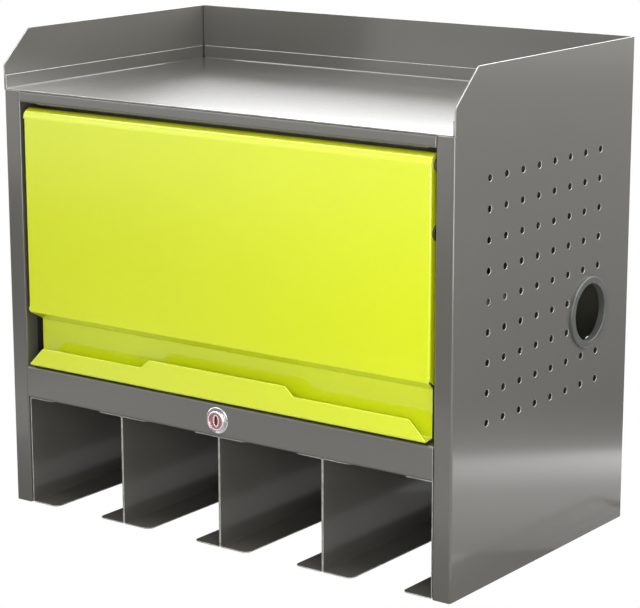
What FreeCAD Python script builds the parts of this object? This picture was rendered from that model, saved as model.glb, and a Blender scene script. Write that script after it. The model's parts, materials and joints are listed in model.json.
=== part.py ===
import FreeCAD, Part
import math
import os

from FreeCAD import Vector

os.makedirs("parts", exist_ok=True)

# Wall-mounted steel tool cabinet: flip-up door over four hanging tool bays, shallow tray on top.
# Pieces are drawn with x = 0 at the middle, y = 0 at the plane of the front posts and z = 0 at the
# lower edges. They are exported with the origin at the centre of the wall holes.

# Case
case_width = 480.6
case_depth = 285.0
case_height = 436.0
sheet = 1.2
bend_inner = 0.8
fit_gap = 0.2
moving_gap = 0.3
run_gap = 0.05
cut_past = 1.0

# Folded edges of the side panels
post_width = 17.9
post_return = 15.0
rear_flange = 12.0
upstand_chamfer_depth = 32.5
upstand_chamfer_drop = 30.0
upstand_corner_radius = 4.0

# Perforated field and cable port of the side panels
hole_diameter = 6.0
hole_pitch = 25.4
hole_columns = 8
hole_rows = 9
first_column_y = 51.9
top_row_drop = 38.8
port_rows = (5, 6)
port_columns = (6, 7)
port_diameter = 56.0
port_forward = 2.5
port_lower = 0.9

# Grommet
grommet_bore = 50.4
grommet_outer_diameter = 62.8
grommet_inner_diameter = 60.0
grommet_lip = 2.6
grommet_inner_lip = 2.6
grommet_edge_radius = 1.2

# Top panel with the upper rail, and the tray on it
splash_height = 52.5
upper_rail_height = 10.0
upper_rail_lip = 8.0
weld_flange = 12.0
tray_flange_height = 12.0
tray_corner_notch = 3.0

# Floor panel with the lower rail
bay_height = 100.9
lower_rail_height = 29.5
lower_rail_lip = 12.0

# Channels that divide the tool bays
channel_sheet = 1.0
channel_flange = 29.9
channel_corner_radius = 6.0
channel_setback = 1.5
end_channel_gap = 0.8
divider_count = 3

# Wall holes in the back panel
wall_hole_diameter = 7.0
wall_hole_spacing_x = 406.4
wall_hole_spacing_z = 180.0
wall_hole_centre_z = 250.0

# Door
door_sheet = 1.0
door_side_gap = 4.3
door_top_gap = 5.0
door_roll_radius = 9.0
door_flange_depth = 16.0
door_ear_gap = 0.5
door_bend_radius = 1.2
door_fold_z = 182.4
step_drop = 8.0
step_depth = 12.5
recess_inset = 5.0
door_bottom_gap = 2.2
lip_forward = 2.5
lip_inset = 2.0
lip_height = 17.8
lip_end_taper = 16.0
lip_corner_radius = 3.5
tab_half_width = 74.5
tab_height = 8.0
tab_slant = 9.0

# Door hinge
hinge_pin_diameter = 6.0
hinge_head_diameter = 10.0
hinge_head_thickness = 2.5
bush_wall = 1.5
bush_flange_diameter = 12.0
bush_tail = 3.0
clip_diameter = 11.0
clip_thickness = 0.8
clip_groove_depth = 0.6
clip_mouth = 3.4
pin_end = 1.0

# Door stays
stay_radius = 55.0
stay_reach = 78.0
stay_fall = 45.0
stay_sheet = 1.8
stay_width = 14.0
stay_rivet_diameter = 5.0
stay_rivet_head = 9.0
stay_rivet_head_thickness = 1.3
stay_pin_diameter = 6.0
stay_pin_head = 11.0
stay_pin_head_thickness = 1.5
stay_bracket_sheet = 1.5
stay_bracket_margin = 9.0
stay_bracket_foot = 10.0
stay_bracket_space = 0.8

# Cam lock
lock_base_diameter = 23.4
lock_base_thickness = 1.2
lock_bezel_diameter = 17.2
lock_bezel_height = 1.6
lock_bezel_chamfer = 0.6
lock_barrel_diameter = 19.0
lock_barrel_length = 16.0
lock_plug_diameter = 14.4
lock_plug_recess = 0.7
lock_plug_head_length = 5.0
lock_plug_neck_diameter = 13.0
lock_shoulder = 0.4
key_slot_length = 8.4
key_slot_width = 1.7
key_slot_depth = 12.0
lock_tail = 8.0
lock_nut_flats = 22.0
lock_nut_thickness = 4.0
lock_washer_diameter = 23.0
lock_washer_thickness = 0.8
cam_length = 26.0
cam_width = 16.0
cam_sheet = 2.0
cam_screw_diameter = 4.0
cam_screw_head_margin = 0.5
cam_screw_head_thickness = 2.4
cam_screw_length = 8.0
cam_screw_end_gap = 1.0

# Strike on the door for the cam
strike_sheet = 1.2
strike_half_width = 14.0
strike_foot = 15.0
strike_top_gap = 10.0
strike_clearance = 1.1
strike_bottom_gap = 4.5

# Places worked out from the sizes above
half_width = case_width / 2
wall_inside_x = half_width - sheet
post_inside_x = half_width - post_width
panel_half_width = wall_inside_x - fit_gap
back_rear_y = case_depth - sheet
back_front_y = back_rear_y - sheet
inner_rear_y = back_front_y - fit_gap
behind_post_y = post_return + moving_gap
deck_z = case_height - splash_height
top_row_z = deck_z - top_row_drop
port_y = first_column_y + hole_pitch * sum(port_columns) / len(port_columns) - port_forward
port_z = top_row_z - hole_pitch * sum(port_rows) / len(port_rows) - port_lower
door_half_width = post_inside_x - door_side_gap
recess_half_width = door_half_width - recess_inset
lip_half_width = door_half_width - lip_inset
pivot_y = door_roll_radius
pivot_z = deck_z - upper_rail_height - door_top_gap - door_roll_radius
lower_rail_top_z = bay_height + lower_rail_height
door_bottom_z = lower_rail_top_z + door_bottom_gap
recess_top_z = door_fold_z - step_drop
door_outer_radius = door_bend_radius + door_sheet
lip_fold_z = door_bottom_z + door_outer_radius
lock_z = bay_height + lower_rail_height / 2
export_shift = Vector(0, -back_rear_y, -wall_hole_centre_z)


# Outlines

def turn_radii(path, side, thickness, inner_radii):
    """Radius on the drawn side and on the other side of the sheet at each bend of the path."""
    drawn = []
    other = []
    for index in range(1, len(path) - 1):
        ax = path[index][0] - path[index - 1][0]
        ay = path[index][1] - path[index - 1][1]
        bx = path[index + 1][0] - path[index][0]
        by = path[index + 1][1] - path[index][1]
        towards_sheet = (ax * by - ay * bx) * side > 0
        inner = inner_radii[index - 1]
        outer = inner + thickness
        drawn.append(outer if towards_sheet else inner)
        other.append(inner if towards_sheet else outer)
    return drawn, other


def offset_path(path, distance):
    """The path moved sideways, to its left for a positive distance."""
    normals = []
    for start, end in zip(path, path[1:]):
        length = math.hypot(end[0] - start[0], end[1] - start[1])
        normals.append((-(end[1] - start[1]) / length, (end[0] - start[0]) / length))
    moved = [(path[0][0] + normals[0][0] * distance, path[0][1] + normals[0][1] * distance)]
    for index in range(1, len(path) - 1):
        before = normals[index - 1]
        after = normals[index]
        scale = distance / (1 + before[0] * after[0] + before[1] * after[1])
        moved.append((path[index][0] + (before[0] + after[0]) * scale,
                      path[index][1] + (before[1] + after[1]) * scale))
    moved.append((path[-1][0] + normals[-1][0] * distance, path[-1][1] + normals[-1][1] * distance))
    return moved


def rounded_face(corners, radii, plane):
    """A flat face from corner points, each rounded with its own radius, in plane xy, yz or xz."""
    def lift(point):
        if plane == "xy":
            return Vector(point[0], point[1], 0)
        if plane == "yz":
            return Vector(0, point[0], point[1])
        return Vector(point[0], 0, point[1])

    tolerance = 1e-6
    starts = []
    ends = []
    arcs = []
    for index, corner in enumerate(corners):
        here = Vector(corner[0], corner[1], 0)
        before = Vector(corners[index - 1][0], corners[index - 1][1], 0)
        after = Vector(corners[(index + 1) % len(corners)][0], corners[(index + 1) % len(corners)][1], 0)
        if radii[index] < tolerance:
            starts.append(here)
            ends.append(here)
            arcs.append(None)
            continue
        to_before = (before - here).normalize()
        to_after = (after - here).normalize()
        half_angle = to_before.getAngle(to_after) / 2
        run = radii[index] / math.tan(half_angle)
        bisector = (to_before + to_after).normalize()
        centre = here + bisector * (radii[index] / math.sin(half_angle))
        starts.append(here + to_before * run)
        ends.append(here + to_after * run)
        arcs.append(centre - bisector * radii[index])
    edges = []
    for index in range(len(corners)):
        if arcs[index] is not None:
            middle = arcs[index]
            arc = Part.Arc(lift(starts[index]), lift(middle), lift(ends[index]))
            edges.append(arc.toShape())
        following = (index + 1) % len(corners)
        if (starts[following] - ends[index]).Length > tolerance:
            edges.append(Part.makeLine(lift(ends[index]), lift(starts[following])))
    return Part.Face(Part.Wire(Part.__sortEdges__(edges)))


def prism(corners, plane, low, high, radii=None):
    """A straight prism from an outline in one plane, from low to high along the third axis."""
    face = rounded_face(corners, radii or [0] * len(corners), plane)
    along = {"xy": Vector(0, 0, 1), "yz": Vector(1, 0, 0), "xz": Vector(0, 1, 0)}[plane]
    face.translate(along * low)
    return face.extrude(along * (high - low))


def bent_sheet(path, side, thickness, plane, low, high, inner_radii=None):
    """A folded sheet: the path is one skin, the metal lies on its left (side 1) or right (side -1)."""
    radii = inner_radii or [bend_inner] * (len(path) - 2)
    drawn, other = turn_radii(path, side, thickness, radii)
    far_skin = offset_path(path, side * thickness)
    corners = list(path) + far_skin[::-1]
    all_radii = [0] + drawn + [0, 0] + other[::-1] + [0]
    return prism(corners, plane, low, high, all_radii)


def block(x_low, x_high, y_low, y_high, z_low, z_high):
    return Part.makeBox(x_high - x_low, y_high - y_low, z_high - z_low, Vector(x_low, y_low, z_low))


def rod_x(diameter, x_low, x_high, y, z):
    return Part.makeCylinder(diameter / 2, x_high - x_low, Vector(x_low, y, z), Vector(1, 0, 0))


def rod_y(diameter, y_low, y_high, x, z):
    return Part.makeCylinder(diameter / 2, y_high - y_low, Vector(x, y_low, z), Vector(0, 1, 0))


def mirrored(shape):
    return shape.mirror(Vector(0, 0, 0), Vector(1, 0, 0))


def export(name, shape):
    """Write one sub-part, moved so that the origin is the centre of the wall holes."""
    part = shape.removeSplitter() if len(shape.Solids) == 1 else shape
    if not part.isValid():
        raise ValueError(name + " is not a valid solid")
    part = part.copy()
    part.translate(export_shift)
    part.exportStep("parts/" + name + ".step")


def export_pair(name, right_shape):
    """Write the right-hand piece and its mirror image for the left."""
    export(name + "_right", right_shape)
    export(name + "_left", mirrored(right_shape))


# Side panels

def make_side_panel():
    """Right side panel: wall, rear flange, front post, and the upstand beside the tray."""
    wall_path = [(half_width - rear_flange, case_depth),
                 (half_width, case_depth),
                 (half_width, 0),
                 (post_inside_x, 0),
                 (post_inside_x, post_return)]
    lower = bent_sheet(wall_path, -1, sheet, "xy", 0, deck_z)
    upper = bent_sheet(wall_path[:3], -1, sheet, "xy", deck_z, case_height)
    chamfer_z = case_height - upstand_chamfer_drop
    outline = [(0, deck_z),
               (0, chamfer_z),
               (upstand_chamfer_depth, case_height),
               (case_depth, case_height),
               (case_depth, deck_z)]
    corner_radii = [0, upstand_corner_radius, upstand_corner_radius, 0, 0]
    keep = prism(outline, "yz", half_width - rear_flange, half_width, corner_radii)
    panel = lower.fuse(upper.common(keep))
    return panel.cut(Part.makeCompound(side_panel_holes()))


def side_panel_holes():
    """The perforated field, without the four places taken by the cable port, the port and pin holes."""
    holes = []
    for row in range(hole_rows):
        for column in range(hole_columns):
            if row in port_rows and column in port_columns:
                continue
            y = first_column_y + column * hole_pitch
            z = top_row_z - row * hole_pitch
            holes.append(rod_x(hole_diameter, wall_inside_x - sheet, half_width + sheet, y, z))
    holes.append(rod_x(port_diameter, wall_inside_x - sheet, half_width + sheet, port_y, port_z))
    bush_hole = hinge_pin_diameter + 2 * (run_gap + bush_wall) + 2 * run_gap
    holes.append(rod_x(bush_hole, post_inside_x - sheet, post_inside_x + 2 * sheet, pivot_y, pivot_z))
    return holes


def make_grommet():
    """Rubber ring that snaps into the cable port, thick lip outside and thin lip inside."""
    bore = grommet_bore / 2
    outer = grommet_outer_diameter / 2
    inner = grommet_inner_diameter / 2
    groove = port_diameter / 2 - run_gap
    inner_face = wall_inside_x - run_gap
    outer_face = half_width + run_gap
    section = [(inner_face - grommet_inner_lip, bore),
               (outer_face + grommet_lip, bore),
               (outer_face + grommet_lip, outer),
               (outer_face, outer),
               (outer_face, groove),
               (inner_face, groove),
               (inner_face, inner),
               (inner_face - grommet_inner_lip, inner)]
    small = grommet_edge_radius / 2
    radii = [small, small, grommet_edge_radius, 0, 0, 0, 0, grommet_edge_radius]
    face = rounded_face(section, radii, "xz")
    ring = face.revolve(Vector(0, 0, 0), Vector(1, 0, 0), 360)
    ring.translate(Vector(0, port_y, port_z))
    return ring


# Back, top, tray and floor

def make_back_panel():
    """Flat back with the splash above the tray, inside the rear flanges of the side panels."""
    half = wall_inside_x - bend_inner - fit_gap
    panel = block(-half, half, back_front_y, back_rear_y, 0, case_height)
    holes = []
    for side_x in (-1, 1):
        for side_z in (-1, 1):
            x = side_x * wall_hole_spacing_x / 2
            z = wall_hole_centre_z + side_z * wall_hole_spacing_z / 2
            holes.append(rod_y(wall_hole_diameter, back_front_y - sheet, back_rear_y + sheet, x, z))
    return panel.cut(Part.makeCompound(holes))


def make_pan(z, up):
    """Panel between the side walls, behind the posts, with weld flanges turned up or down."""
    flange_z = z + up * weld_flange
    half = panel_half_width
    path = [(-half, flange_z), (-half, z), (half, z), (half, flange_z)]
    return bent_sheet(path, up, sheet, "xz", behind_post_y, inner_rear_y)


def make_top_panel():
    """Ceiling of the compartment, with the upper rail folded down at the front."""
    front_half = post_inside_x - fit_gap
    rail_path = [(behind_post_y + sheet, deck_z),
                 (0, deck_z),
                 (0, deck_z - upper_rail_height),
                 (upper_rail_lip, deck_z - upper_rail_height)]
    rail = bent_sheet(rail_path, 1, sheet, "yz", -front_half, front_half)
    return make_pan(deck_z, -1).fuse(rail)


def make_tray():
    """Loose sheet tray on the top panel, with upturned edges at the sides and the back."""
    top_z = deck_z + sheet + tray_flange_height
    half = panel_half_width
    side_path = [(-half, top_z), (-half, deck_z), (half, deck_z), (half, top_z)]
    body = bent_sheet(side_path, 1, sheet, "xz", fit_gap, inner_rear_y - tray_corner_notch)
    join_y = inner_rear_y - 2 * tray_corner_notch
    back_path = [(join_y, deck_z), (inner_rear_y, deck_z), (inner_rear_y, top_z)]
    back_half = half - tray_corner_notch
    back_edge = bent_sheet(back_path, 1, sheet, "yz", -back_half, back_half)
    return body.fuse(back_edge)


def make_floor_panel():
    """Floor of the compartment, with the lower rail folded up at the front and bored for the lock."""
    front_half = post_inside_x - fit_gap
    rail_path = [(behind_post_y + sheet, bay_height),
                 (0, bay_height),
                 (0, lower_rail_top_z),
                 (lower_rail_lip, lower_rail_top_z)]
    rail = bent_sheet(rail_path, -1, sheet, "yz", -front_half, front_half)
    lock_hole = rod_y(lock_hole_diameter, -sheet, 2 * sheet, 0, lock_z)
    return make_pan(bay_height, 1).fuse(rail).cut(lock_hole)


# Tool bay channels

def make_channel(web_x, opening):
    """C channel under the floor: web at web_x, both flanges towards the opening side."""
    edge_x = web_x + opening * channel_flange
    path = [(edge_x, 0), (web_x, 0), (web_x, bay_height), (edge_x, bay_height)]
    channel = bent_sheet(path, -opening, channel_sheet, "xz", channel_setback, inner_rear_y)
    outline = [(web_x, channel_setback),
               (edge_x, channel_setback),
               (edge_x, inner_rear_y),
               (web_x, inner_rear_y)]
    return channel.common(prism(outline, "xy", 0, bay_height, [0, channel_corner_radius, 0, 0]))


def export_channels():
    """Two end channels beside the posts and a back-to-back pair at each divider."""
    end_x = post_inside_x - end_channel_gap
    pitch = 2 * end_x / (divider_count + 1)
    export("bay_channel_end_left", make_channel(-end_x, 1))
    export("bay_channel_end_right", make_channel(end_x, -1))
    for index in range(divider_count):
        web_x = -end_x + (index + 1) * pitch
        number = str(index + 1)
        export("bay_channel_" + number + "_left", make_channel(web_x, -1))
        export("bay_channel_" + number + "_right", make_channel(web_x, 1))


# Door

def make_door_face():
    """Flat face of the door with both side flanges, cut off along the step."""
    path = [(-door_half_width, door_flange_depth),
            (-door_half_width, 0),
            (door_half_width, 0),
            (door_half_width, door_flange_depth)]
    face = bent_sheet(path, 1, door_sheet, "xy", recess_top_z - step_drop, pivot_z,
                      [door_bend_radius, door_bend_radius])
    step_slope = step_drop / step_depth
    clear = door_sheet * math.hypot(1, step_slope) + door_sheet
    front_z = door_fold_z + clear
    far_y = 2 * door_flange_depth
    below = [(-door_sheet, front_z + door_sheet * step_slope),
             (far_y, front_z - far_y * step_slope),
             (far_y, recess_top_z - 2 * step_drop - far_y),
             (-door_sheet, recess_top_z - 2 * step_drop - far_y)]
    return face.cut(prism(below, "yz", -door_half_width - cut_past, door_half_width + cut_past))


def make_door_roll():
    """Rolled top edge of the door, half a turn about the hinge axis."""
    rear_y = pivot_y + door_roll_radius
    top_z = pivot_z + door_roll_radius
    path = [(rear_y, pivot_z), (rear_y, top_z), (0, top_z), (0, pivot_z)]
    inner = door_roll_radius - door_sheet
    return bent_sheet(path, 1, door_sheet, "yz", -door_half_width, door_half_width, [inner, inner])


def make_door_lower():
    """Step, recess and trough at the foot of the door, up to the fold of the pull lip."""
    join_z = door_fold_z + 2 * door_outer_radius
    trough_z = door_bottom_z + door_sheet
    lip_inside_y = -lip_forward + door_sheet
    path = [(0, join_z),
            (0, door_fold_z),
            (step_depth, recess_top_z),
            (step_depth, trough_z),
            (lip_inside_y, trough_z),
            (lip_inside_y, lip_fold_z)]
    lower = bent_sheet(path, 1, door_sheet, "yz", -door_half_width, door_half_width, [door_bend_radius] * 4)
    behind_y = step_depth + 2 * door_sheet
    past_x = door_half_width + cut_past
    trough_top_z = lip_fold_z + door_outer_radius
    side_end = [(past_x, door_fold_z + door_outer_radius),
                (door_half_width, door_fold_z + door_outer_radius),
                (door_half_width - door_bend_radius, door_fold_z),
                (recess_half_width, recess_top_z),
                (recess_half_width, trough_top_z),
                (past_x, trough_top_z)]
    trough_end = [(recess_half_width, behind_y),
                  (recess_half_width, step_depth),
                  (lip_half_width, lip_inside_y),
                  (lip_half_width, -lip_forward - door_sheet),
                  (past_x, -lip_forward - door_sheet),
                  (past_x, behind_y)]
    cuts = [prism(side_end, "xz", -door_sheet, behind_y)]
    cuts.append(prism(trough_end, "xy", door_bottom_z - door_sheet, trough_top_z))
    cuts.extend([mirrored(cuts[0]), mirrored(cuts[1])])
    return lower.cut(Part.makeCompound(cuts))


def make_pull_lip():
    """Upturned pull lip with slanted ends and a raised tab in the middle."""
    top_z = door_bottom_z + lip_height
    half = [(lip_half_width, lip_fold_z),
            (lip_half_width - lip_end_taper, top_z),
            (tab_half_width + tab_slant, top_z),
            (tab_half_width, top_z + tab_height)]
    outline = half + [(-x, z) for x, z in half[::-1]]
    radius = lip_corner_radius
    radii = [0, radius, radius, radius, radius, radius, radius, 0]
    return prism(outline, "xz", -lip_forward, -lip_forward + door_sheet, radii)


def make_door_panel():
    """One-piece door: rolled top, side flanges with hinge ears, step, recess and J-shaped pull."""
    panel = make_door_face().fuse([make_door_roll(), make_door_lower(), make_pull_lip()])
    ear_radius = door_roll_radius - door_sheet - door_ear_gap
    flange_inside = door_half_width - door_sheet
    for side in (-1, 1):
        low = min(side * flange_inside, side * door_half_width)
        high = low + door_sheet
        panel = panel.fuse(rod_x(2 * ear_radius, low, high, pivot_y, pivot_z))
        holes = [rod_x(hinge_pin_diameter, low - cut_past, high + cut_past, pivot_y, pivot_z)]
        holes.append(rod_x(stay_rivet_diameter, low - cut_past, high + cut_past, pivot_y, stay_stud_z))
        panel = panel.cut(Part.makeCompound(holes))
    return panel


def make_strike():
    """Z-shaped strike behind the recess: the raised cam stands in front of its hanging edge."""
    back_y = step_depth + door_sheet
    cam_rear_y = cam_front_y + cam_sheet
    hook_front_y = cam_rear_y + strike_clearance
    hook_rear_y = hook_front_y + strike_sheet
    shelf_z = lock_z + cam_length + strike_top_gap
    path = [(back_y, shelf_z + strike_foot),
            (back_y, shelf_z),
            (hook_rear_y, shelf_z),
            (hook_rear_y, lower_rail_top_z + strike_bottom_gap)]
    return bent_sheet(path, 1, strike_sheet, "yz", -strike_half_width, strike_half_width)


# Hinges

bush_outer_diameter = hinge_pin_diameter + 2 * (run_gap + bush_wall)
bush_flange_face_x = door_half_width + moving_gap
bush_end_x = post_inside_x + sheet + bush_tail
clip_x = bush_end_x + moving_gap


def make_hinge_bush():
    """Nylon bush in the post return, its flange fills the gap beside the door."""
    flange = rod_x(bush_flange_diameter, bush_flange_face_x, post_inside_x, pivot_y, pivot_z)
    body = rod_x(bush_outer_diameter, post_inside_x, bush_end_x, pivot_y, pivot_z)
    bore_diameter = hinge_pin_diameter + 2 * run_gap
    bore = rod_x(bore_diameter, bush_flange_face_x - cut_past, bush_end_x + cut_past, pivot_y, pivot_z)
    return flange.fuse(body).cut(bore)


def make_hinge_pin():
    """Headed pin fixed in the door ear, turning in the bush, grooved for the clip."""
    head_face_x = door_half_width - door_sheet
    head = rod_x(hinge_head_diameter, head_face_x - hinge_head_thickness, head_face_x, pivot_y, pivot_z)
    end_x = clip_x + clip_thickness + pin_end
    shank = rod_x(hinge_pin_diameter, head_face_x, end_x, pivot_y, pivot_z)
    groove_diameter = hinge_pin_diameter - 2 * clip_groove_depth
    groove = rod_x(2 * hinge_pin_diameter, clip_x, clip_x + clip_thickness, pivot_y, pivot_z)
    core = rod_x(groove_diameter, clip_x, clip_x + clip_thickness, pivot_y, pivot_z)
    return head.fuse(shank).cut(groove).fuse(core)


def make_hinge_clip():
    """Open retaining clip in the groove of the hinge pin."""
    groove_diameter = hinge_pin_diameter - 2 * clip_groove_depth
    ring = rod_x(clip_diameter, clip_x, clip_x + clip_thickness, pivot_y, pivot_z)
    low_x = clip_x - cut_past
    high_x = clip_x + clip_thickness + cut_past
    bore = rod_x(groove_diameter, low_x, high_x, pivot_y, pivot_z)
    half_mouth = clip_mouth / 2
    mouth = block(low_x, high_x, pivot_y - half_mouth, pivot_y + half_mouth, pivot_z - clip_diameter, pivot_z)
    return ring.cut(bore.fuse(mouth))


# Door stays

stay_inner_x = door_half_width + moving_gap
stay_outer_x = stay_inner_x + stay_sheet
stay_stud_z = pivot_z - stay_radius
slot_centre_y = pivot_y + stay_reach
slot_centre_z = pivot_z - stay_fall
slot_pin_z = slot_centre_z - stay_radius
bracket_face_x = stay_outer_x + stay_bracket_space
bracket_back_x = bracket_face_x + stay_bracket_sheet


def make_stay_arm():
    """Flat arm from the door flange to the curved slot."""
    ends = [(pivot_y, stay_stud_z), (slot_centre_y, slot_pin_z)]
    length = math.hypot(stay_reach, stay_fall)
    across_y = stay_fall / length * stay_width / 2
    across_z = stay_reach / length * stay_width / 2
    outline = [(ends[0][0] - across_y, ends[0][1] - across_z),
               (ends[1][0] - across_y, ends[1][1] - across_z),
               (ends[1][0] + across_y, ends[1][1] + across_z),
               (ends[0][0] + across_y, ends[0][1] + across_z)]
    arm = prism(outline, "yz", stay_inner_x, stay_outer_x)
    for y, z in ends:
        arm = arm.fuse(rod_x(stay_width, stay_inner_x, stay_outer_x, y, z))
    low_x = stay_inner_x - cut_past
    high_x = stay_outer_x + cut_past
    rivet_hole = rod_x(stay_rivet_diameter + 2 * run_gap, low_x, high_x, *ends[0])
    pin_hole = rod_x(stay_pin_diameter, low_x, high_x, *ends[1])
    return arm.removeSplitter().cut(rivet_hole.fuse(pin_hole))


def make_stay_rivet():
    """Rivet that joins the arm to the side flange of the door."""
    inside_x = door_half_width - door_sheet
    head_x = stay_outer_x + moving_gap
    tail = rod_x(stay_rivet_head, inside_x - stay_rivet_head_thickness, inside_x, pivot_y, stay_stud_z)
    shank = rod_x(stay_rivet_diameter, inside_x, head_x, pivot_y, stay_stud_z)
    head = rod_x(stay_rivet_head, head_x, head_x + stay_rivet_head_thickness, pivot_y, stay_stud_z)
    return tail.fuse(shank).fuse(head)


def make_stay_pin():
    """Headed pin fixed in the arm, sliding in the slot of the bracket."""
    head_x = bracket_back_x + moving_gap
    shank = rod_x(stay_pin_diameter, stay_inner_x, head_x, slot_centre_y, slot_pin_z)
    head = rod_x(stay_pin_head, head_x, head_x + stay_pin_head_thickness, slot_centre_y, slot_pin_z)
    return shank.fuse(head)


def make_stay_slot():
    """Curved slot that the pin follows, a quarter turn."""
    slot_half = stay_pin_diameter / 2 + moving_gap
    low_x = bracket_face_x - cut_past
    high_x = bracket_back_x + cut_past
    ring = rod_x(2 * (stay_radius + slot_half), low_x, high_x, slot_centre_y, slot_centre_z)
    ring = ring.cut(rod_x(2 * (stay_radius - slot_half), low_x, high_x, slot_centre_y, slot_centre_z))
    reach = 2 * stay_radius
    quarter = block(low_x, high_x, slot_centre_y - reach, slot_centre_y, slot_centre_z - reach, slot_centre_z)
    closed_end = rod_x(2 * slot_half, low_x, high_x, slot_centre_y, slot_pin_z)
    open_end = rod_x(2 * slot_half, low_x, high_x, slot_centre_y - stay_radius, slot_centre_z)
    return ring.common(quarter).fuse([closed_end, open_end])


def make_stay_bracket():
    """Hat-shaped bracket on the side wall that holds the curved slot."""
    margin = stay_pin_diameter / 2 + moving_gap + stay_bracket_margin
    low_z = slot_pin_z - margin
    high_z = slot_centre_z + margin
    foot_x = wall_inside_x - stay_bracket_sheet
    path = [(foot_x, high_z + stay_bracket_foot),
            (foot_x, high_z),
            (bracket_face_x, high_z),
            (bracket_face_x, low_z),
            (foot_x, low_z),
            (foot_x, low_z - stay_bracket_foot)]
    bracket = bent_sheet(path, 1, stay_bracket_sheet, "xz", behind_post_y, slot_centre_y + margin)
    return bracket.cut(make_stay_slot())


# Cam lock

lock_hole_diameter = lock_barrel_diameter + 2 * run_gap
barrel_end_y = lock_barrel_length
cam_front_y = barrel_end_y + lock_shoulder + fit_gap
bezel_face_y = -lock_base_thickness - lock_bezel_height
plug_face_y = bezel_face_y + lock_plug_recess
plug_head_end_y = plug_face_y + lock_plug_head_length


def make_lock_housing():
    """Plated housing: base ring on the rail, raised bezel, threaded barrel through the rail."""
    base = rod_y(lock_base_diameter, -lock_base_thickness, 0, 0, lock_z)
    base_edges = [edge for edge in base.Edges if abs(edge.BoundBox.YMax + lock_base_thickness) < 1e-6]
    base = base.makeFillet(lock_base_thickness / 2, base_edges)
    bezel = rod_y(lock_bezel_diameter, bezel_face_y, -lock_base_thickness, 0, lock_z)
    bezel_edges = [edge for edge in bezel.Edges if abs(edge.BoundBox.YMax - bezel_face_y) < 1e-6]
    bezel = bezel.makeFillet(lock_bezel_chamfer, bezel_edges)
    barrel = rod_y(lock_barrel_diameter, 0, barrel_end_y, 0, lock_z)
    head_bore = rod_y(lock_plug_diameter + 2 * run_gap, bezel_face_y - cut_past,
                      plug_head_end_y + moving_gap, 0, lock_z)
    neck_bore = rod_y(lock_plug_neck_diameter + 2 * run_gap, bezel_face_y - cut_past,
                      barrel_end_y + cut_past, 0, lock_z)
    return base.fuse([bezel, barrel]).cut(head_bore.fuse(neck_bore))


def make_lock_plug():
    """Plug with the key slot in its head, neck through the barrel and square tail for the cam."""
    head = rod_y(lock_plug_diameter, plug_face_y, plug_head_end_y, 0, lock_z)
    neck = rod_y(lock_plug_neck_diameter, plug_face_y, barrel_end_y + lock_shoulder, 0, lock_z)
    half_tail = lock_tail / 2
    tail_end_y = cam_front_y + cam_sheet
    tail = block(-half_tail, half_tail, barrel_end_y, tail_end_y, lock_z - half_tail, lock_z + half_tail)
    across = key_slot_width / 2
    along = key_slot_length / 2
    slot = block(-across, across, plug_face_y - cut_past, plug_face_y + key_slot_depth,
                 lock_z - along, lock_z + along)
    screw_hole = rod_y(cam_screw_diameter, tail_end_y - cam_screw_length, tail_end_y + cut_past, 0, lock_z)
    return head.fuse([neck, tail]).cut(slot).cut(screw_hole)


def make_lock_washer():
    """Flat washer between the rail and the nut."""
    front_y = sheet
    rear_y = front_y + lock_washer_thickness
    ring = rod_y(lock_washer_diameter, front_y, rear_y, 0, lock_z)
    return ring.cut(rod_y(lock_hole_diameter, front_y - cut_past, rear_y + cut_past, 0, lock_z))


def make_lock_nut():
    """Hexagon nut that clamps the housing from inside the rail, two flats level."""
    front_y = sheet + lock_washer_thickness
    corner = lock_nut_flats / math.sqrt(3)
    outline = []
    for index in range(6):
        angle = math.radians(60 * index)
        outline.append((corner * math.cos(angle), lock_z + corner * math.sin(angle)))
    rear_y = front_y + lock_nut_thickness
    nut = prism(outline, "xz", front_y, rear_y)
    return nut.cut(rod_y(lock_hole_diameter, front_y - cut_past, rear_y + cut_past, 0, lock_z))


def make_lock_cam():
    """Flat cam, resting to the left, on the square tail of the plug."""
    half = cam_width / 2
    rear_y = cam_front_y + cam_sheet
    outline = [(-cam_length, lock_z - half),
               (half, lock_z - half),
               (half, lock_z + half),
               (-cam_length, lock_z + half)]
    radii = [half / 2, half - fit_gap, half - fit_gap, half / 2]
    cam = prism(outline, "xz", cam_front_y, rear_y, radii)
    half_hole = lock_tail / 2 + run_gap
    return cam.cut(block(-half_hole, half_hole, cam_front_y - cut_past, rear_y + cut_past,
                         lock_z - half_hole, lock_z + half_hole))


def make_cam_screw():
    """Screw with a wide head that keeps the cam on the tail."""
    seat_y = cam_front_y + cam_sheet
    head_diameter = lock_tail * math.sqrt(2) + 2 * cam_screw_head_margin
    head = rod_y(head_diameter, seat_y, seat_y + cam_screw_head_thickness, 0, lock_z)
    shank_end_y = seat_y - cam_screw_length + cam_screw_end_gap
    shank = rod_y(cam_screw_diameter - 2 * run_gap, shank_end_y, seat_y, 0, lock_z)
    return head.fuse(shank)


# Write every sub-part

export_pair("side_panel", make_side_panel())
export_pair("cable_grommet", make_grommet())
export("back_panel", make_back_panel())
export("top_panel", make_top_panel())
export("tray", make_tray())
export("floor_panel", make_floor_panel())
export_channels()
export("door_panel", make_door_panel())
export("lock_strike", make_strike())
export_pair("hinge_bush", make_hinge_bush())
export_pair("hinge_pin", make_hinge_pin())
export_pair("hinge_clip", make_hinge_clip())
export_pair("stay_arm", make_stay_arm())
export_pair("stay_rivet", make_stay_rivet())
export_pair("stay_pin", make_stay_pin())
export_pair("stay_bracket", make_stay_bracket())
export("lock_housing", make_lock_housing())
export("lock_washer", make_lock_washer())
export("lock_nut", make_lock_nut())
export("lock_plug", make_lock_plug())
export("lock_cam", make_lock_cam())
export("cam_screw", make_cam_screw())
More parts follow.
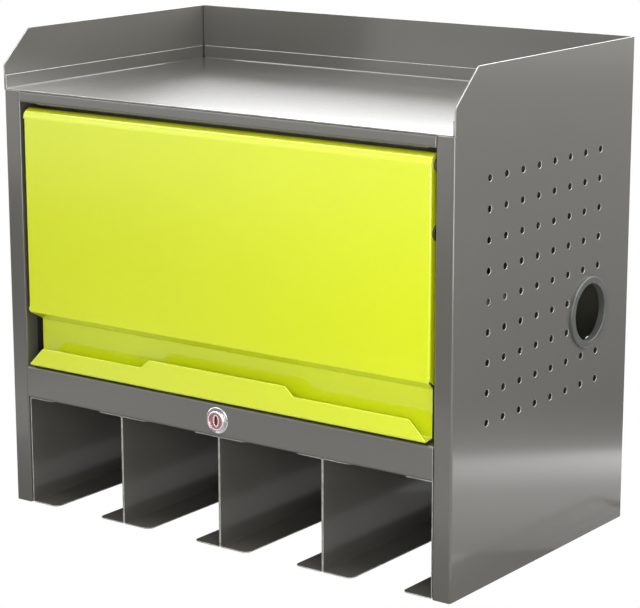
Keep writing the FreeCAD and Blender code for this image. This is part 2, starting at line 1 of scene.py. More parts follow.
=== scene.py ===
import json
import math
from collections import namedtuple

import bmesh
import bpy
from bpy.props import FloatProperty, FloatVectorProperty, PointerProperty
from mathutils import Euler, Matrix, Vector


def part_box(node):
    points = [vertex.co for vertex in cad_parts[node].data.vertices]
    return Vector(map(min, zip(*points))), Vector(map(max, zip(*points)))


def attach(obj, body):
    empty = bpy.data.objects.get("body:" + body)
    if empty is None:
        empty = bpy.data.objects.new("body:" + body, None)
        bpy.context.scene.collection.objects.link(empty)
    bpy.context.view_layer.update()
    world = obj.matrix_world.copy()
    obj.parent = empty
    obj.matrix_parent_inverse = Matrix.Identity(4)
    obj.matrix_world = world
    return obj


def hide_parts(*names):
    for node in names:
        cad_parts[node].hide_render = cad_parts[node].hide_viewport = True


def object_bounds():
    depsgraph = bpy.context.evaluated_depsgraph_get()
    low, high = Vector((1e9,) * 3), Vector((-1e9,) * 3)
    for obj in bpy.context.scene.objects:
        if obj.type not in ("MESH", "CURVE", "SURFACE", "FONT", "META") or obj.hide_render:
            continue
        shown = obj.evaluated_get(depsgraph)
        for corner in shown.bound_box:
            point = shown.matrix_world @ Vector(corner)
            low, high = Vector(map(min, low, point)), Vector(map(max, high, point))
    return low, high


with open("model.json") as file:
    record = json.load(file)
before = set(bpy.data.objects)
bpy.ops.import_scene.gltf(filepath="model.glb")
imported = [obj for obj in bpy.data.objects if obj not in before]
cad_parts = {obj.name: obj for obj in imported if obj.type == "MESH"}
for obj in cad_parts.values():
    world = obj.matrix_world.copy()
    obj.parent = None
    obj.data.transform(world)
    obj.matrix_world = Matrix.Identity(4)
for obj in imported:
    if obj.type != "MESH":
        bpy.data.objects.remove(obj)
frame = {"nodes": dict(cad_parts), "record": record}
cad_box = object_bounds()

bl_info = {
    "name": "Wall-mounted tool cabinet",
    "version": (1, 0, 0),
    "blender": (4, 5, 0),
    "location": "View3D > Sidebar > Tool cabinet",
    "description": "Dresses the packed tool cabinet with finished sheet metal, paint, lock and grommets",
    "category": "Object",
}

# Mesh limits, in metres and radians

MERGE_DISTANCE = 1e-6
FLAT_ANGLE = math.radians(0.6)
SHARP_ANGLE = math.radians(28)
SQUARE_ANGLE = 1.0
BEVEL_SEGMENTS = 2

# Sizes and colours


class CABINET_PG_case(bpy.types.PropertyGroup):
    colour: FloatVectorProperty(
        name="Case colour", description="Dark grey powder coat of the sheets",
        subtype="COLOR", size=3, min=0, max=1, default=(0.077, 0.074, 0.065))
    roughness: FloatProperty(
        name="Case roughness", description="How much the case paint spreads a reflection",
        default=0.3, min=0, max=1)
    edge_round: FloatProperty(
        name="Edge rounding", description="Radius that the paint gives to a cut edge of the plain sheets",
        unit="LENGTH", subtype="DISTANCE", default=0.0004, min=0.00005, max=0.0005)
    hole_round: FloatProperty(
        name="Hole rounding", description="The same radius on the perforated sides and the floor panel",
        unit="LENGTH", subtype="DISTANCE", default=0.0003, min=0.00005, max=0.0005)


class CABINET_PG_door(bpy.types.PropertyGroup):
    colour: FloatVectorProperty(
        name="Door colour", description="Lime green gloss paint of the door",
        subtype="COLOR", size=3, min=0, max=1, default=(0.55, 0.625, 0.007))
    roughness: FloatProperty(
        name="Door roughness", description="How much the door paint spreads a reflection",
        default=0.22, min=0, max=1)
    edge_round: FloatProperty(
        name="Door edge rounding", description="Radius that the paint gives to a cut edge of the door",
        unit="LENGTH", subtype="DISTANCE", default=0.00018, min=0.00005, max=0.0005)


class CABINET_PG_fittings(bpy.types.PropertyGroup):
    rubber_colour: FloatVectorProperty(
        name="Rubber colour", description="Dark rubber of the cable grommets",
        subtype="COLOR", size=3, min=0, max=1, default=(0.062, 0.065, 0.058))
    plug_colour: FloatVectorProperty(
        name="Lock plug colour", description="Reddish metal of the lock's turning core",
        subtype="COLOR", size=3, min=0, max=1, default=(0.46, 0.20, 0.22))
    metal_round: FloatProperty(
        name="Fitting rounding", description="Edge radius of the lock, hinge and stay parts",
        unit="LENGTH", subtype="DISTANCE", default=0.00015, min=0.00005, max=0.0005)
    rubber_round: FloatProperty(
        name="Grommet rounding", description="Edge radius of the rubber grommets",
        unit="LENGTH", subtype="DISTANCE", default=0.0002, min=0.00005, max=0.0005)


class CABINET_PG_stage(bpy.types.PropertyGroup):
    camera_place: FloatVectorProperty(
        name="Camera place", description="Where the camera stands",
        unit="LENGTH", subtype="TRANSLATION", size=3, default=(1.209355, -1.787601, 0.412471))
    camera_turn: FloatVectorProperty(
        name="Camera turn", description="How the camera is turned",
        unit="ROTATION", subtype="EULER", size=3, default=(1.33728, 0.002847, 0.637715))
    lens: FloatProperty(
        name="Lens", description="Focal length for a sensor 36 mm wide, in millimetres",
        default=130.614, min=20, max=300)
    shift: FloatVectorProperty(
        name="Lens shift", description="Sideways and upward shift of the lens, as a share of the picture width",
        size=2, default=(0.02488, 0.02616))
    floor_drop: FloatProperty(
        name="Floor drop", description="Height of the hanging cabinet above the floor",
        unit="LENGTH", subtype="DISTANCE", default=1.1, min=0.05, max=2)
    surround: FloatProperty(
        name="Surround light", description="Strength of the even light that comes from all sides",
        default=0.42, min=0, max=2)


# Materials


def new_material(name):
    material = bpy.data.materials.new(name)
    material.use_nodes = True
    nodes = material.node_tree.nodes
    return material, nodes, material.node_tree.links, nodes["Principled BSDF"]


def group_socket(group, name, kind, way, value=None):
    socket = group.interface.new_socket(name=name, in_out=way, socket_type=kind)
    if value is not None:
        socket.default_value = value


def set_socket(tree, socket, value):
    """Put a number or colour on a socket, or link an output to it."""
    if isinstance(value, (int, float)):
        socket.default_value = value
    elif isinstance(value, (tuple, list)):
        socket.default_value = tuple(value)
    else:
        tree.links.new(value, socket)


def add_math(tree, operation, first, second):
    node = tree.nodes.new("ShaderNodeMath")
    node.operation = operation
    for socket, value in zip(node.inputs, (first, second)):
        set_socket(tree, socket, value)
    return node.outputs[0]


def add_noise(tree, vector, scale, detail, roughness=0.5):
    node = tree.nodes.new("ShaderNodeTexNoise")
    node.inputs["Detail"].default_value = detail
    node.inputs["Roughness"].default_value = roughness
    tree.links.new(vector, node.inputs["Vector"])
    set_socket(tree, node.inputs["Scale"], scale)
    return node.outputs["Fac"]


def add_range(tree, value, low, high, out_low, out_high):
    node = tree.nodes.new("ShaderNodeMapRange")
    for name, bound in (("From Min", low), ("From Max", high), ("To Min", out_low), ("To Max", out_high)):
        node.inputs[name].default_value = bound
    tree.links.new(value, node.inputs["Value"])
    return node.outputs["Result"]


def add_mix(tree, factor, first, second):
    node = tree.nodes.new("ShaderNodeMix")
    node.data_type = "RGBA"
    for name, value in (("Factor", factor), ("A", first), ("B", second)):
        set_socket(tree, next(s for s in node.inputs if s.name == name and s.enabled), value)
    return next(s for s in node.outputs if s.enabled)


def add_bump(tree, height, shader, distance):
    bump = tree.nodes.new("ShaderNodeBump")
    bump.inputs["Strength"].default_value = 1.0
    bump.inputs["Distance"].default_value = distance
    tree.links.new(height, bump.inputs["Height"])
    tree.links.new(bump.outputs[0], shader.inputs["Normal"])


def new_finish_group(name, inputs):
    """A node group with the given inputs that puts out colour, roughness and bump height."""
    group = bpy.data.node_groups.new(name, "ShaderNodeTree")
    for label, kind, value in inputs:
        group_socket(group, label, "NodeSocket" + kind, "INPUT", value)
    for label, kind in (("Colour", "Color"), ("Roughness", "Float"), ("Height", "Float")):
        group_socket(group, label, "NodeSocket" + kind, "OUTPUT")
    enter = group.nodes.new("NodeGroupInput").outputs
    leave = group.nodes.new("NodeGroupOutput").inputs
    return group, enter, leave, group.nodes.new("ShaderNodeTexCoord").outputs["Object"]


def make_powder_coat():
    """Sprayed paint: cloudy tone, orange peel, fine grain, edges paled as a painted highlight with some wear,
    and a few specks of dust.
    """
    group, enter, leave, where = new_finish_group("powder_coat", (
        ("Colour", "Color", None), ("Edge Colour", "Color", None), ("Roughness", "Float", 0.35),
        ("Peel Scale", "Float", 700.0), ("Cloud", "Float", 0.05)))

    cloud = add_range(group, add_noise(group, where, 9.0, 3.0), 0.3, 0.7, -1.0, 1.0)
    tone = add_math(group, "ADD", add_math(group, "MULTIPLY", cloud, enter["Cloud"]), 1.0)
    clouded = group.nodes.new("ShaderNodeHueSaturation")
    group.links.new(enter["Colour"], clouded.inputs["Color"])
    group.links.new(tone, clouded.inputs["Value"])
    grain = add_noise(group, where, 2600.0, 2.0)
    pale_grain = add_range(group, grain, 0.62, 0.72, 0.0, 0.04)
    grained = add_mix(group, pale_grain, clouded.outputs[0], enter["Edge Colour"])

    # Bevel faces marked 'edge' are mixed to the pale colour: a painted highlight on the rounded edges and hole
    # rims, broken up by scuff noise as some wear
    edge = group.nodes.new("ShaderNodeAttribute")
    edge.attribute_name = "edge"
    scuff = add_noise(group, where, 160.0, 4.0, 0.65)
    wear_and_highlight = add_math(group, "MULTIPLY", edge.outputs["Fac"], add_range(group, scuff, 0.36, 0.60, 0.5, 1.0))
    group.links.new(add_mix(group, wear_and_highlight, grained, enter["Edge Colour"]), leave["Colour"])

    speck = group.nodes.new("ShaderNodeTexVoronoi")
    speck.inputs["Scale"].default_value = 75.0
    group.links.new(where, speck.inputs["Vector"])
    dust = add_range(group, speck.outputs["Distance"], 0.02, 0.05, 0.05, 0.0)
    smear = add_math(group, "MULTIPLY", add_range(group, scuff, 0.35, 0.75, -0.5, 0.5), 0.03)
    smeared = add_math(group, "ADD", enter["Roughness"], smear)
    group.links.new(add_math(group, "ADD", smeared, dust), leave["Roughness"])

    peel = add_noise(group, where, enter["Peel Scale"], 2.0, 0.4)
    fine = add_math(group, "MULTIPLY", grain, 0.15)
    group.links.new(add_math(group, "ADD", peel, fine), leave["Height"])


def make_plated_metal():
    """Plated or turned metal: faint streaks, stains and small pits."""
    group, enter, leave, where = new_finish_group("plated_metal", (
        ("Colour", "Color", None), ("Stain Colour", "Color", None), ("Roughness", "Float", 0.3),
        ("Stain", "Float", 0.3)))
    stretch = group.nodes.new("ShaderNodeMapping")
    stretch.inputs["Scale"].default_value = (1.0, 0.06, 1.0)
    group.links.new(where, stretch.inputs["Vector"])
    streak = add_noise(group, stretch.outputs[0], 3200.0, 3.0)
    stain = add_noise(group, where, 220.0, 4.0, 0.6)
    mask = add_math(group, "MULTIPLY", add_range(group, stain, 0.45, 0.75, 0.0, 1.0), enter["Stain"])
    group.links.new(add_mix(group, mask, enter["Colour"], enter["Stain Colour"]), leave["Colour"])
    streaked = add_range(group, streak, 0.3, 0.7, -0.05, 0.08)
    rough = add_math(group, "ADD", enter["Roughness"], streaked)
    dull = add_math(group, "MULTIPLY", mask, 0.3)
    group.links.new(add_math(group, "ADD", rough, dull), leave["Roughness"])
    pits = add_math(group, "MULTIPLY", add_noise(group, where, 1500.0, 2.0), 0.4)
    group.links.new(add_math(group, "ADD", streak, pits), leave["Height"])


def group_material(name, group, values, depth):
    """A material whose colour, roughness and bump come from a node group with these values."""
    material, nodes, links, shader = new_material(name)
    finish = nodes.new("ShaderNodeGroup")
    finish.node_tree = bpy.data.node_groups[group]
    for label, value in values.items():
        finish.inputs[label].default_value = value
    links.new(finish.outputs["Colour"], shader.inputs["Base Color"])
    links.new(finish.outputs["Roughness"], shader.inputs["Roughness"])
    add_bump(material.node_tree, finish.outputs["Height"], shader, depth)
    return material, shader


def paint_material(name, colour, grain_and_highlight_colour, roughness, peel_scale, cloud, depth, coat, coat_roughness):
    material, shader = group_material(name, "powder_coat", {
        "Colour": (*colour, 1), "Edge Colour": (*grain_and_highlight_colour, 1), "Roughness": roughness,
        "Peel Scale": peel_scale, "Cloud": cloud}, depth)
    shader.inputs["Coat Weight"].default_value = coat
    shader.inputs["Coat Roughness"].default_value = coat_roughness
    return material


def metal_material(name, colour, stain_colour, roughness, stain, depth):
    material, shader = group_material(name, "plated_metal", {
        "Colour": (*colour, 1), "Stain Colour": (*stain_colour, 1), "Roughness": roughness,
        "Stain": stain}, depth)
    shader.inputs["Metallic"].default_value = 1.0
    return material


def moulded_material(name, colour, pale, roughness):
    """Moulded rubber or nylon: matt skin, fine spark-eroded grain, pale dust in places."""
    material, nodes, links, shader = new_material(name)
    tree = material.node_tree
    where = nodes.new("ShaderNodeTexCoord").outputs["Object"]
    grain = add_noise(tree, where, 1800.0, 3.0)
    patch = add_noise(tree, where, 70.0, 4.0, 0.6)
    dusty = add_range(tree, patch, 0.42, 0.72, 0.0, 0.35)
    links.new(add_mix(tree, dusty, (*colour, 1), (*pale, 1)), shader.inputs["Base Color"])
    links.new(add_range(tree, patch, 0.3, 0.7, roughness - 0.06, roughness + 0.1), shader.inputs["Roughness"])
    add_bump(tree, grain, shader, 0.00002)
    return material


def make_materials():
    """One finish for each material slot of the record."""
    case = bpy.context.scene.cabinet_case
    door = bpy.context.scene.cabinet_door
    fittings = bpy.context.scene.cabinet_fittings
    make_powder_coat()
    make_plated_metal()
    return {
        # The second colour of each paint tints its grain specks and paints a highlight on its rounded edges and
        # hole rims
        "case_paint": paint_material(
            "case_powder_coat", case.colour, grain_and_highlight_colour=(0.40, 0.39, 0.36), roughness=case.roughness,
            peel_scale=620.0, cloud=0.02, depth=0.0000015, coat=1.0, coat_roughness=0.12),
        "door_paint": paint_material(
            "door_gloss_coat", door.colour, grain_and_highlight_colour=(0.85, 0.92, 0.22), roughness=door.roughness,
            peel_scale=520.0, cloud=0.01, depth=0.000006, coat=0.7, coat_roughness=0.2),
        # Near-black stays and bracket: partly their stoved finish, partly painted shade, so that they read as
        # the shadow in the gap beside the door and behind the side holes
        "black_steel": paint_material(
            "black_stoving_and_shade", (0.012, 0.012, 0.012), grain_and_highlight_colour=(0.05, 0.05, 0.05), roughness=0.45,
            peel_scale=900.0, cloud=0.02, depth=0.000004, coat=0.0, coat_roughness=0.3),
        "lock_chrome": metal_material(
            "bright_plating", (0.86, 0.86, 0.85), stain_colour=(0.55, 0.53, 0.50), roughness=0.10,
            stain=0.12, depth=0.000004),
        "lock_plug_metal": metal_material(
            "turned_plug", fittings.plug_colour, stain_colour=(0.22, 0.06, 0.08), roughness=0.26,
            stain=0.5, depth=0.00001),
        "zinc_steel": metal_material(
            "zinc_plating", (0.40, 0.40, 0.39), stain_colour=(0.28, 0.27, 0.24), roughness=0.45,
            stain=0.4, depth=0.00001),
        "grommet_rubber": moulded_material(
            "moulded_rubber", fittings.rubber_colour, pale=(0.10, 0.10, 0.095), roughness=0.36),
        "bush_plastic": moulded_material(
            "black_nylon", (0.03, 0.03, 0.03), pale=(0.07, 0.07, 0.065), roughness=0.45),
    }


FINISHES = {}


# Pieces


def new_object(name, mesh):
    """A scene object made from a bmesh, which is freed."""
    data = bpy.data.meshes.new(name)
    mesh.to_mesh(data)
    mesh.free()
    made = bpy.data.objects.new(name, data)
    bpy.context.scene.collection.objects.link(made)
    return made


def new_piece(name, mesh):
    piece = new_object(name, mesh)
    piece.data.shade_smooth()
    return piece


def sharp_edges(mesh, angle):
    return [e for e in mesh.edges if len(e.link_faces) == 2 and e.calc_face_angle(0) > angle]


def round_edges(mesh, edges, width, clamp=True):
    """Round the edges and mark their new faces, where the paint is paled as a painted highlight and worn."""
    wear_and_highlight = mesh.faces.layers.float.new("edge")
    rounded = bmesh.ops.bevel(
        mesh, geom=edges, offset=width, offset_type="OFFSET", affect="EDGES", segments=BEVEL_SEGMENTS,
        profile=0.5, material=-1, clamp_overlap=clamp)
    for face in rounded["faces"]:
        face[wear_and_highlight] = 1.0


def soften_node(node, width, shape=None, clamp=True):
    """A merged copy of a CAD node's mesh with its sharp edges rounded.

    Thin facets beside a row of holes make the clamp too strict, so there it is off, and the points
    that then leave the node's box are put back on it.
    """
    mesh = bmesh.new()
    mesh.from_mesh(frame["nodes"][node].data)
    bmesh.ops.remove_doubles(mesh, verts=mesh.verts, dist=MERGE_DISTANCE)
    bmesh.ops.dissolve_degenerate(mesh, edges=mesh.edges, dist=MERGE_DISTANCE)
    bmesh.ops.dissolve_limit(mesh, angle_limit=FLAT_ANGLE, verts=mesh.verts, edges=mesh.edges)
    if shape:
        shape(mesh)
    round_edges(mesh, sharp_edges(mesh, SHARP_ANGLE), width, clamp)
    if not clamp:
        low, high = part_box(node)
        for vert in mesh.verts:
            vert.co = [min(max(at, least), most) for at, least, most in zip(vert.co, low, high)]
    piece = new_piece(node + "_finished", mesh)
    weigh = piece.modifiers.new("flat_faces", "WEIGHTED_NORMAL")
    weigh.mode = "FACE_AREA"
    weigh.weight = 50
    return piece


def finish_piece(piece, body, slot, *nodes):
    piece.data.materials.clear()
    piece.data.materials.append(FINISHES[slot])
    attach(piece, body)
    if nodes:
        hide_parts(*nodes)


def body_of_node(node):
    return next(name for name, members in frame["record"]["behaviour"]["bodies"].items() if node in members)


def slot_of_node(node):
    return next(row["material_slot"] for row in frame["record"]["subparts"] if row["node"] == node)


def dress_node(node, width, shape=None, clamp=True):
    """Replace a CAD node by its copy with rounded edges, in the finish of its own slot."""
    piece = soften_node(node, width, shape, clamp)
    finish_piece(piece, body_of_node(node), slot_of_node(node), node)


def nodes_named(*starts):
    found = [name for name in sorted(frame["nodes"]) if name.startswith(starts)]
    if not found:
        raise RuntimeError("no packed part is named " + ", ".join(starts))
    return found


def make_rail_return():
    """Return of the upper rail, folded back and down behind the door's rolled top."""
    start, reach, drop, sheet, inset, edge_round = 0.0078, 0.0214, 0.007, 0.0012, 0.009, 0.0002
    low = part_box("top_panel")[0]
    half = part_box("door_panel")[1].x - inset
    mesh = bmesh.new()
    edge = mesh.edges.new([mesh.verts.new((x, low.y + start, low.z)) for x in (half, -half)])
    for step in ((0, reach - start, 0), (0, 0, -drop)):
        grown = bmesh.ops.extrude_edge_only(mesh, edges=[edge])["geom"]
        moved = [part for part in grown if isinstance(part, bmesh.types.BMVert)]
        bmesh.ops.translate(mesh, vec=step, verts=moved)
        grown_edges = [part for part in grown if isinstance(part, bmesh.types.BMEdge)]
        edge = next(part for part in grown_edges if set(part.verts) == set(moved))
    bmesh.ops.recalc_face_normals(mesh, faces=mesh.faces)
    if mesh.faces[:][0].normal.z > 0:
        bmesh.ops.reverse_faces(mesh, faces=mesh.faces)
    bmesh.ops.solidify(mesh, geom=mesh.faces[:], thickness=sheet)
    round_edges(mesh, sharp_edges(mesh, SQUARE_ANGLE), edge_round)
    bmesh.ops.recalc_face_normals(mesh, faces=mesh.faces)
    finish_piece(new_piece("rail_return", mesh), body_of_node("top_panel"), "case_paint")


class CABINET_OT_case(bpy.types.Operator):
    """Case: side panels, back, top, tray and floor with rounded cut edges"""
    bl_idname = "cabinet.case"
    bl_label = "Case"

    def execute(self, context):
        case = context.scene.cabinet_case
        for node in nodes_named("side_panel", "floor_panel"):
            dress_node(node, case.hole_round, clamp=False)
        for node in nodes_named("back_panel", "top_panel", "tray", "stay_bracket"):
            dress_node(node, case.edge_round)
        make_rail_return()
        return {"FINISHED"}


class CABINET_OT_channels(bpy.types.Operator):
    """C channels that divide the tool bays"""
    bl_idname = "cabinet.channels"
    bl_label = "Bay channels"

    def execute(self, context):
        for node in nodes_named("bay_channel"):
            dress_node(node, context.scene.cabinet_case.edge_round)
        return {"FINISHED"}


class CABINET_OT_door(bpy.types.Operator):
    """Door with its strike"""
    bl_idname = "cabinet.door"
    bl_label = "Door"

    def execute(self, context):
        dress_node("door_panel", context.scene.cabinet_door.edge_round, clamp=False)
        dress_node("lock_strike", context.scene.cabinet_case.edge_round)
        return {"FINISHED"}


class CABINET_OT_hinges(bpy.types.Operator):
    """Hinge pins, bushes and clips, and the stays that guide the door"""
    bl_idname = "cabinet.hinges"
    bl_label = "Hinges and stays"

    def execute(self, context):
        for node in nodes_named("hinge", "stay_arm", "stay_rivet", "stay_pin"):
            dress_node(node, context.scene.cabinet_fittings.metal_round)
        return {"FINISHED"}


def dish_base_ring(mesh, centre, face):
    """Turn the flat base ring of the lock's head into a cone that rises to the bezel."""
    inner, outer, slack = 0.0086, 0.0117, 0.0001
    low, high = 0.0003, 0.0019
    flat_low, flat_high = 0.0004, 0.0013
    for vert in mesh.verts:
        reach = math.hypot(vert.co.x - centre.x, vert.co.z - centre.z)
        proud = face - vert.co.y
        if flat_low < proud < flat_high and reach > inner - slack:
            share = min(1, max(0, (outer - reach) / (outer - inner)))
            vert.co.y = face - (low + (high - low) * share)


def make_keyway_ring(centre, face):
    """Pale oval lip pressed up round the key slot."""
    radius, lip, proud, edge_round, sunk = 0.0036, 0.0010, 0.0003, 0.00012, 0.0001
    mesh = bmesh.new()
    bmesh.ops.create_circle(mesh, cap_ends=True, segments=40, radius=radius)
    bmesh.ops.scale(mesh, vec=(0.92, 1.5, 1), verts=mesh.verts)
    rim = bmesh.ops.inset_region(mesh, faces=mesh.faces[:], thickness=lip, depth=0, use_boundary=True)
    middle = [f for f in mesh.faces if f not in rim["faces"]]
    bmesh.ops.delete(mesh, geom=middle, context="FACES")
    bmesh.ops.solidify(mesh, geom=mesh.faces[:], thickness=proud)
    round_edges(mesh, sharp_edges(mesh, SQUARE_ANGLE), edge_round)
    turn = Matrix.Translation((centre.x, face - sunk, centre.z)) @ Matrix.Rotation(math.radians(90), 4, "X")
    bmesh.ops.transform(mesh, matrix=turn, verts=mesh.verts)
    bmesh.ops.recalc_face_normals(mesh, faces=mesh.faces)
    finish_piece(new_piece("keyway_ring", mesh), body_of_node("lock_plug"), "lock_chrome")


class CABINET_OT_lock(bpy.types.Operator):
    """Cam lock in the lower rail"""
    bl_idname = "cabinet.lock"
    bl_label = "Cam lock"

    def execute(self, context):
        width = context.scene.cabinet_fittings.metal_round
        low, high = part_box("lock_housing")
        centre = (low + high) / 2
        rail_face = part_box("floor_panel")[0].y
        dress_node("lock_housing", width, shape=lambda mesh: dish_base_ring(mesh, centre, rail_face))
        for node in nodes_named("lock_plug", "lock_washer", "lock_nut", "lock_cam", "cam_screw"):
            dress_node(node, width)
        make_keyway_ring(centre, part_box("lock_plug")[0].y)
        return {"FINISHED"}


class CABINET_OT_grommets(bpy.types.Operator):
    """Rubber grommets in the cable ports"""
    bl_idname = "cabinet.grommets"
    bl_label = "Cable grommets"

    def execute(self, context):
        for node in nodes_named("cable_grommet"):
            dress_node(node, context.scene.cabinet_fittings.rubber_round)
        return {"FINISHED"}


# Stage

# What the lamps aim at, inside the cabinet
AIM = Vector((0, -0.14, -0.03))

# Azimuth and elevation are in degrees; azimuth 0 is in front of the door and grows to the right
Lamp = namedtuple("Lamp", "name azimuth elevation distance size power")
LAMPS = (
    Lamp("key_lamp", 14, 20, 1.9, (1.0, 1.0), 9.5),
    Lamp("top_lamp", 0, 80, 1.9, (1.4, 1.2), 36.0),
    Lamp("bay_lamp", 42, 4, 1.0, (0.5, 0.4), 3.8),
    Lamp("right_lamp", 95, 20, 1.9, (1.0, 1.0), 12.0),
    Lamp("rear_right_lamp", 130, 25, 1.9, (1.0, 1.0), 19.0),
    Lamp("upper_right_lamp", 60, 50, 1.9, (1.0, 1.0), 6.0),
    Lamp("front_left_lamp", -40, 18, 1.9, (1.0, 1.0), 3.0),
    Lamp("left_lamp", -78, 12, 1.9, (1.0, 1.0), 6.0),
    Lamp("rear_lamp", 180, 45, 1.9, (1.2, 1.0), 10.0),
)

# A reflector glows in a ramp: the stops are places along the direction, each with its strength.
# The place is measured from the level of the cabinet's underside, the turn is in degrees.
Reflector = namedtuple("Reflector", "name direction stops place turn size")
TABLE_GAP = 0.004
REFLECTORS = (
    Reflector("side_table", (0.7071, 0.7071, 0), (
        (0.1, 0.6), (0.26, 0.9), (0.375, 2.4), (0.40, 0.3), (0.55, 0.2), (0.8, 0.28), (1.4, 0.36),
        (3.5, 0.4)), place=(1.49, 1.06, 0), turn=(0, 0, 45), size=(3.4, 2.6)),
    Reflector("front_far", (1, 0, 0), (
        (-3.0, 1.4), (-1.15, 1.4), (-0.9, 1.0), (-0.67, 0.6), (-0.3, 0.25), (0.3, 0.1)),
        place=(-1.35, -2.4, 0), turn=(0, 0, 0), size=(3.3, 1.6)),
    Reflector("front_middle", (1, 0, 0), (
        (-3.0, 0.5), (-1.1, 0.12), (-0.85, 0.3), (-0.55, 0.3), (-0.4, 0.1), (0.3, 0.1)),
        place=(-1.35, -1.2, 0), turn=(0, 0, 0), size=(3.3, 0.8)),
    Reflector("front_near", (1, 0, 0), (
        (-3.0, 0.3), (-0.85, 0.2), (-0.62, 0.6), (-0.5, 1.1), (-0.2, 0.85), (0.3, 0.85)),
        place=(-1.35, -0.625, 0), turn=(0, 0, 0), size=(3.3, 0.35)),
    Reflector("under_table", (0, 1, 0), ((-0.45, 0.5), (-0.3, 0.3), (0.05, 0.2)),
              place=(-0.2, -0.2, 0), turn=(0, 0, 0), size=(1.0, 0.5)),
    Reflector("backdrop_bright", (0, 0, 1), (
        (-0.3, 0.5), (0.45, 0.2), (0.6, 1.2), (0.8, 5.0), (1.0, 10.0), (1.2, 9.0), (1.5, 3.0),
        (1.8, 1.5)), place=(-1.04, 2.41, 1.1), turn=(90, 0, 34), size=(2.1, 2.0)),
    Reflector("backdrop_shade", (0, 0, 1), ((-0.3, 0.3), (1.8, 0.4)),
              place=(-2.495, 1.428, 1.1), turn=(90, 0, 34), size=(1.4, 2.0)),
    Reflector("upper_right", (0, 0, 1), ((0.5, 9.0), (2.0, 9.0)),
              place=(1.17, -0.14, 1.31), turn=(0, 47, 0), size=(0.7, 1.1)),
    Reflector("upper_left", (0, 0, 1), ((0.5, 7.0), (2.5, 7.0)),
              place=(-1.05, -0.5, 1.75), turn=(11, -33, 0), size=(0.7, 0.8)),
)


def new_lamp(name, kind, place, power):
    data = bpy.data.lights.new(name, kind)
    data.energy = power
    lamp = bpy.data.objects.new(name, data)
    lamp.location = place
    lamp.visible_camera = False
    bpy.context.scene.collection.objects.link(lamp)
    return lamp


def add_lamp(row):
    """Soft rectangular lamp that looks at the cabinet."""
    turn, rise = math.radians(row.azimuth), math.radians(row.elevation)
    away = Vector((math.sin(turn) * math.cos(rise), -math.cos(turn) * math.cos(rise), math.sin(rise)))
    lamp = new_lamp(row.name, "AREA", AIM + away * row.distance, row.power)
    lamp.data.shape = "RECTANGLE"
    lamp.data.size, lamp.data.size_y = row.size
    lamp.rotation_euler = (-away).to_track_quat("-Z", "Y").to_euler()


def add_inner_lamp():
    """Faint light in the compartment, so that its holes and gaps aren't black."""
    lamp = new_lamp("inner_lamp", "POINT", (0, -0.14, 0.06), 0.2)
    lamp.data.shadow_soft_size = 0.05
    lamp.visible_glossy = False


def white_to_the_lens(tree, plain, background):
    """Mix two shaders so that camera, glossy and transmitted rays see the background."""
    paths = tree.nodes.new("ShaderNodeLightPath").outputs
    seen = add_math(tree, "MAXIMUM", paths["Is Camera Ray"], paths["Is Transmission Ray"])
    seen = add_math(tree, "MAXIMUM", seen, paths["Is Glossy Ray"])
    mix = tree.nodes.new("ShaderNodeMixShader")
    for socket, source in zip(mix.inputs, (seen, plain, background)):
        tree.links.new(source, socket)
    return mix.outputs[0]


def ramp_material(row):
    """Glow that changes along the reflector's direction."""
    material, nodes, links, shader = new_material(row.name + "_glow")
    nodes.remove(shader)
    along = nodes.new("ShaderNodeVectorMath")
    along.operation = "DOT_PRODUCT"
    along.inputs[1].default_value = row.direction
    links.new(nodes.new("ShaderNodeTexCoord").outputs["Object"], along.inputs[0])
    first, last = row.stops[0][0], row.stops[-1][0]
    ramp = nodes.new("ShaderNodeValToRGB")
    ramp.color_ramp.interpolation = "EASE"
    links.new(add_range(material.node_tree, along.outputs["Value"], first, last, 0.0, 1.0), ramp.inputs[0])
    brightest = max(strength for place, strength in row.stops)
    points = ramp.color_ramp.elements
    while len(points) < len(row.stops):
        points.new(0.5)
    for point, (place, strength) in zip(points, row.stops):
        point.position = (place - first) / (last - first)
        point.color = (*([strength / brightest] * 3), 1)
    glow = nodes.new("ShaderNodeEmission")
    glow.inputs["Strength"].default_value = brightest
    links.new(ramp.outputs[0], glow.inputs["Color"])
    links.new(glow.outputs[0], nodes["Material Output"].inputs[0])
    return material


def add_reflector(row, level):
    """A studio card that only gloss sees: it neither lights the cabinet nor shows behind it."""
    turn = Euler([math.radians(angle) for angle in row.turn]).to_matrix().to_4x4()
    place = Matrix.Translation((row.place[0], row.place[1], level + row.place[2]))
    mesh = bmesh.new()
    bmesh.ops.create_grid(mesh, x_segments=1, y_segments=1, size=0.5)
    bmesh.ops.scale(mesh, vec=(*row.size, 1), verts=mesh.verts)
    bmesh.ops.transform(mesh, matrix=place @ turn, verts=mesh.verts)
    card = new_object(row.name, mesh)
    card.data.materials.append(ramp_material(row))
    card.visible_camera = False
    card.visible_diffuse = False
    card.visible_transmission = False
    card.visible_shadow = False


def add_floor(level):
    """Pale paper floor, white to the lens."""
    mesh = bmesh.new()
    bmesh.ops.create_grid(
        mesh, x_segments=1, y_segments=1, size=9.0, matrix=Matrix.Translation((0, 0, level)))
    floor = new_object("floor", mesh)
    material, nodes, links, shader = new_material("floor_paper")
    shader.inputs["Base Color"].default_value = (0.8, 0.8, 0.79, 1)
    shader.inputs["Roughness"].default_value = 0.9
    glow = nodes.new("ShaderNodeEmission")
    glow.inputs["Color"].default_value = (1, 1, 1, 1)
    mixed = white_to_the_lens(material.node_tree, shader.outputs[0], glow.outputs[0])
    links.new(mixed, nodes["Material Output"].inputs[0])
    floor.data.materials.append(material)


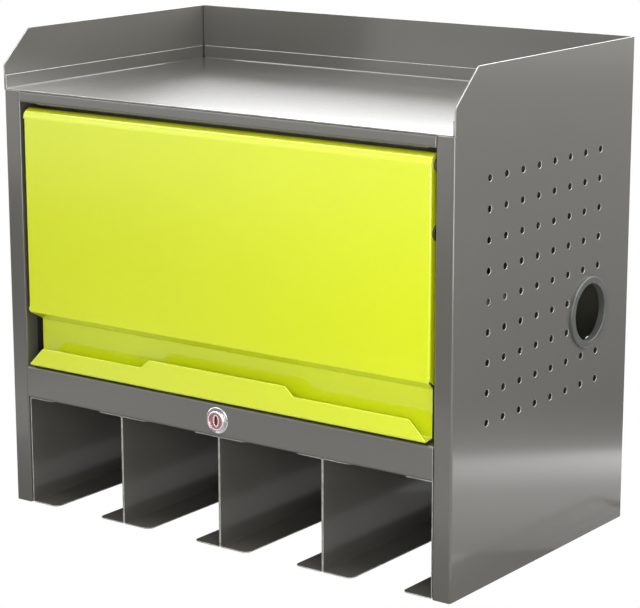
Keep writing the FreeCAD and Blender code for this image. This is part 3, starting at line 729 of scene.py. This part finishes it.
def add_surround(strength):
    """Even light from all sides, and white where the lens sees past the cabinet."""
    world = bpy.data.worlds.new("studio")
    world.use_nodes = True
    bpy.context.scene.world = world
    tree = world.node_tree
    plain = tree.nodes["Background"]
    white = tree.nodes.new("ShaderNodeBackground")
    for shade, level in ((plain, strength), (white, 1.0)):
        shade.inputs[0].default_value = (1, 1, 1, 1)
        shade.inputs[1].default_value = level
    mixed = white_to_the_lens(tree, plain.outputs[0], white.outputs[0])
    tree.links.new(mixed, tree.nodes["World Output"].inputs[0])


def add_camera(stage):
    lens = bpy.data.cameras.new("camera")
    lens.sensor_fit = "HORIZONTAL"
    lens.sensor_width = 36.0
    lens.lens = stage.lens
    lens.shift_x, lens.shift_y = stage.shift
    lens.clip_end = 50.0
    camera = bpy.data.objects.new("camera", lens)
    camera.location = stage.camera_place
    camera.rotation_euler = Euler(stage.camera_turn)
    bpy.context.scene.collection.objects.link(camera)
    bpy.context.scene.camera = camera


class CABINET_OT_stage(bpy.types.Operator):
    """Pale floor, soft lamps, reflectors, white surroundings and the camera"""
    bl_idname = "cabinet.stage"
    bl_label = "Stage"

    def execute(self, context):
        stage = context.scene.cabinet_stage
        add_floor(cad_box[0].z - stage.floor_drop)
        add_surround(stage.surround)
        for row in LAMPS:
            add_lamp(row)
        add_inner_lamp()
        for row in REFLECTORS:
            add_reflector(row, cad_box[0].z - TABLE_GAP)
        add_camera(stage)
        context.scene.view_settings.view_transform = "Standard"
        return {"FINISHED"}


class CABINET_PT_panel(bpy.types.Panel):
    """Lists the pieces of the cabinet"""
    bl_idname = "CABINET_PT_panel"
    bl_label = "Tool cabinet"
    bl_space_type = "VIEW_3D"
    bl_region_type = "UI"
    bl_category = "Tool cabinet"

    def draw(self, context):
        for group in SETTINGS:
            settings = getattr(context.scene, group)
            box = self.layout.box()
            for name in settings.bl_rna.properties.keys():
                if name not in ("rna_type", "name"):
                    box.prop(settings, name)
        for step in STEPS:
            self.layout.operator(step.bl_idname)


STEPS = (
    CABINET_OT_stage,
    CABINET_OT_case,
    CABINET_OT_channels,
    CABINET_OT_door,
    CABINET_OT_hinges,
    CABINET_OT_lock,
    CABINET_OT_grommets,
)
SETTINGS = {
    "cabinet_case": CABINET_PG_case,
    "cabinet_door": CABINET_PG_door,
    "cabinet_fittings": CABINET_PG_fittings,
    "cabinet_stage": CABINET_PG_stage,
}


def register():
    for group in SETTINGS.values():
        bpy.utils.register_class(group)
    for name, group in SETTINGS.items():
        setattr(bpy.types.Scene, name, PointerProperty(type=group))
    for step in STEPS:
        bpy.utils.register_class(step)
    bpy.utils.register_class(CABINET_PT_panel)


def unregister():
    bpy.utils.unregister_class(CABINET_PT_panel)
    for step in reversed(STEPS):
        bpy.utils.unregister_class(step)
    for name in SETTINGS:
        delattr(bpy.types.Scene, name)
    for group in reversed(list(SETTINGS.values())):
        bpy.utils.unregister_class(group)


def main():
    register()
    FINISHES.update(make_materials())
    for step in STEPS:
        group, name = step.bl_idname.split(".")
        getattr(getattr(bpy.ops, group), name)()


if __name__ == "__main__":
    main()
